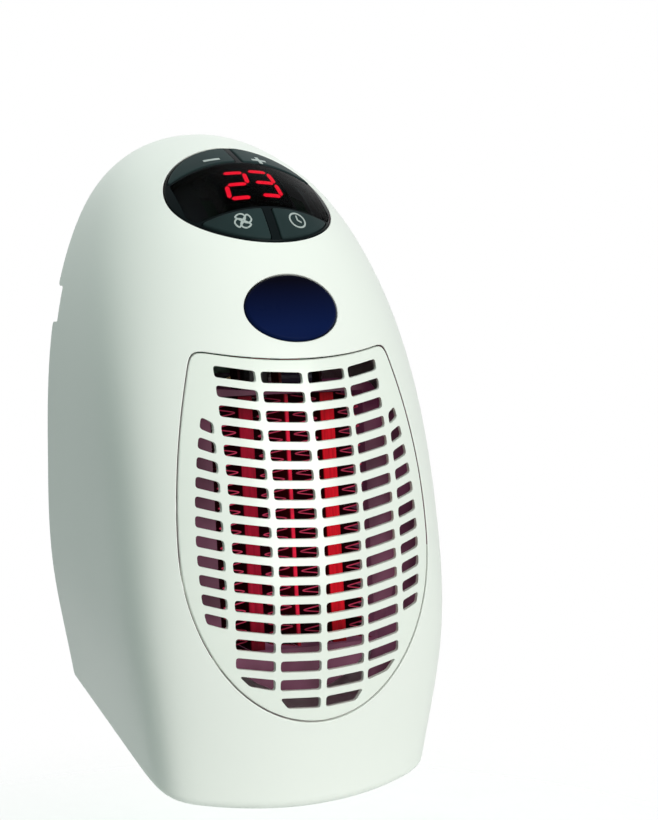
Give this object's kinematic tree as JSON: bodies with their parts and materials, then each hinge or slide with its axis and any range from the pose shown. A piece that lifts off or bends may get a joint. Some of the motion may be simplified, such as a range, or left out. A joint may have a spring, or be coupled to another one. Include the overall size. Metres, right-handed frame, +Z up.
{
  "type": "plug-in fan heater",
  "caption": "Egg-shaped wall-plug fan heater with a slotted outlet grille, domed control panel, ceramic heating core and swivelling two-pin plug.",
  "frame": {"origin": "centre of the flat outer face of the wall plug, midway between its two pins", "axes": "+Y runs along the pins into the wall, +Z is up, the outlet grille looks along -Y"},
  "size_m": [0.0969, 0.1175, 0.177],
  "materials": {
    "front_shell": "gloss",
    "rear_cover": "satin",
    "front_grille": "gloss",
    "control_fascia": "high gloss",
    "button_minus": "fine grain",
    "button_plus": "fine grain",
    "button_speed": "fine grain",
    "button_timer": "fine grain",
    "display_window": "high gloss, smoked",
    "display_module": "matt",
    "key_mat": "matt",
    "control_board": "satin",
    "receiver_lens": "high gloss",
    "receiver_board": "satin",
    "ir_receiver": "gloss",
    "heater_frame": "matt",
    "ptc_bar_left": "matt",
    "ptc_bar_right": "matt",
    "center_electrode": "brushed",
    "fins_inner_left": "bright",
    "fins_inner_right": "bright",
    "fins_outer_left": "bright",
    "fins_outer_right": "bright",
    "thermal_cutout": "matt",
    "thermal_fuse": "bright",
    "air_duct": "matt",
    "fan_frame": "matt",
    "fan_motor": "satin",
    "fan_bearing": "satin",
    "fan_shaft": "ground",
    "fan_rotor": "satin",
    "power_board": "satin",
    "relay": "satin",
    "film_capacitor": "gloss",
    "transformer": "satin",
    "electrolytic_capacitor": "gloss",
    "wiper_block": "matt",
    "wiper_contact_inner": "bright",
    "wiper_contact_outer": "bright",
    "turret_retainer": "matt",
    "switch_body": "matt",
    "rocker_key": "gloss",
    "plug_turret": "satin",
    "plug_pin_left": "bright nickel",
    "plug_pin_right": "bright nickel",
    "slip_ring_carrier": "matt",
    "slip_ring_inner": "bright",
    "slip_ring_outer": "bright",
    "screws": "zinc plated"
  },
  "bodies": {
    "plug": {"plug_turret": "plug_turret", "plug_pin_left": "plug_pin_left", "plug_pin_right": "plug_pin_right", "slip_ring_carrier": "slip_ring_carrier", "slip_ring_inner": "slip_ring_inner", "slip_ring_outer": "slip_ring_outer"},
    "housing": {"front_shell": "front_shell", "rear_cover": "rear_cover", "front_grille": "front_grille", "control_fascia": "control_fascia", "display_window": "display_window", "display_module": "display_module", "key_mat": "key_mat", "control_board": "control_board", "receiver_lens": "receiver_lens", "receiver_board": "receiver_board", "ir_receiver": "ir_receiver", "heater_frame": "heater_frame", "ptc_bar_left": "ptc_bar_left", "ptc_bar_right": "ptc_bar_right", "center_electrode": "center_electrode", "fins_inner_left": "fins_inner_left", "fins_inner_right": "fins_inner_right", "fins_outer_left": "fins_outer_left", "fins_outer_right": "fins_outer_right", "thermal_cutout": "thermal_cutout", "thermal_fuse": "thermal_fuse", "air_duct": "air_duct", "fan_frame": "fan_frame", "fan_motor": "fan_motor", "fan_bearing": "fan_bearing", "power_board": "power_board", "relay": "relay", "film_capacitor": "film_capacitor", "transformer": "transformer", "electrolytic_capacitor": "electrolytic_capacitor", "wiper_block": "wiper_block", "wiper_contact_inner": "wiper_contact_inner", "wiper_contact_outer": "wiper_contact_outer", "turret_retainer": "turret_retainer", "switch_body": "switch_body", "case_screw_1": "screws", "case_screw_2": "screws", "case_screw_3": "screws", "case_screw_4": "screws", "duct_screw_1": "screws", "duct_screw_2": "screws", "power_board_screw_1": "screws", "power_board_screw_2": "screws", "retainer_screw_1": "screws", "retainer_screw_2": "screws", "retainer_screw_3": "screws"},
    "minus_key": {"button_minus": "button_minus"},
    "plus_key": {"button_plus": "button_plus"},
    "speed_key": {"button_speed": "button_speed"},
    "timer_key": {"button_timer": "button_timer"},
    "rocker": {"rocker_key": "rocker_key"},
    "fan": {"fan_rotor": "fan_rotor", "fan_shaft": "fan_shaft"}
  },
  "joints": [
    {"name": "plug_swivel", "type": "hinge", "parent": "plug", "child": "housing", "pos_m": [0, 0, 0], "axis": [0, 1, 0], "range_deg": [-135, 135]},
    {"name": "minus_press", "type": "slide", "parent": "housing", "child": "minus_key", "axis": [0, 0.5878, -0.809], "range_m": [0, 0.00025], "stiffness_N_per_m": 4000},
    {"name": "plus_press", "type": "slide", "parent": "housing", "child": "plus_key", "axis": [0, 0.5878, -0.809], "range_m": [0, 0.00025], "stiffness_N_per_m": 4000},
    {"name": "speed_press", "type": "slide", "parent": "housing", "child": "speed_key", "axis": [0, 0.5878, -0.809], "range_m": [0, 0.00025], "stiffness_N_per_m": 4000},
    {"name": "timer_press", "type": "slide", "parent": "housing", "child": "timer_key", "axis": [0, 0.5878, -0.809], "range_m": [0, 0.00025], "stiffness_N_per_m": 4000},
    {"name": "rocker_tilt", "type": "hinge", "parent": "housing", "child": "rocker", "pos_m": [0.04636, -0.0318, -0.048], "axis": [0, 1, 0], "range_deg": [-16, 0]},
    {"name": "fan_spin", "type": "hinge", "parent": "housing", "child": "fan", "pos_m": [0, -0.0409, -0.044], "axis": [0, 1, 0], "continuous": true}
  ]
}
